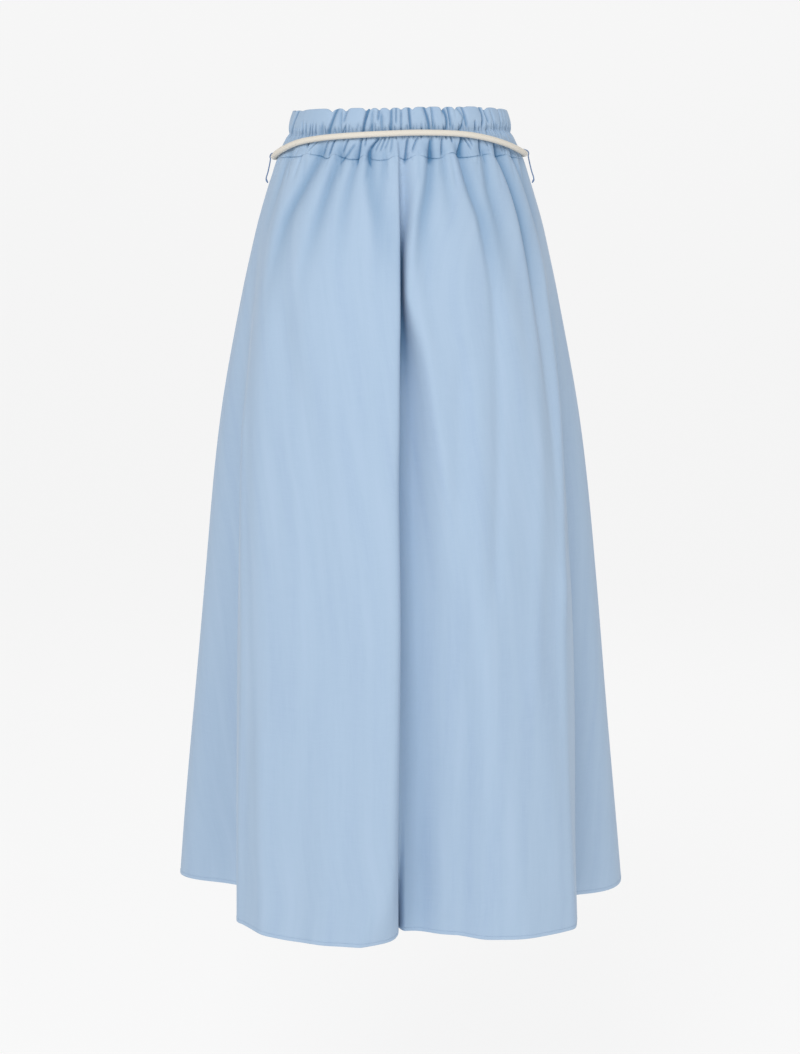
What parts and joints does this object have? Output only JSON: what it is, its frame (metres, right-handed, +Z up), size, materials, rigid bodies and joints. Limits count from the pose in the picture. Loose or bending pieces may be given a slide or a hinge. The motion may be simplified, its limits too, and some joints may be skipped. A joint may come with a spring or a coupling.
{
  "type": "maxi skirt",
  "caption": "Long A-line skirt with a gathered elastic waistband, a centre back fold, deep hem flutes and a thin twisted rope belt in thread loops, as worn.",
  "frame": {"origin": "middle of the waist at the elastic's mid height, where a wearer holds it up", "axes": "+Z up, -Y out of the skirt's back, +X to its right side as seen from the back"},
  "size_m": [0.5614, 0.448, 0.9572],
  "materials": {
    "cotton_poplin": "light blue, fine plain weave with a faint sheen",
    "cotton_rope": "cream, twisted, matte",
    "sewing_thread": "dark slate blue, satin"
  },
  "bodies": {
    "root": {"waistband_back": "cotton_poplin", "waistband_front": "cotton_poplin", "skirt_back": "cotton_poplin", "skirt_front": "cotton_poplin", "rope_belt": "cotton_rope", "belt_loop_right": "sewing_thread", "belt_loop_left": "sewing_thread"}
  },
  "joints": []
}
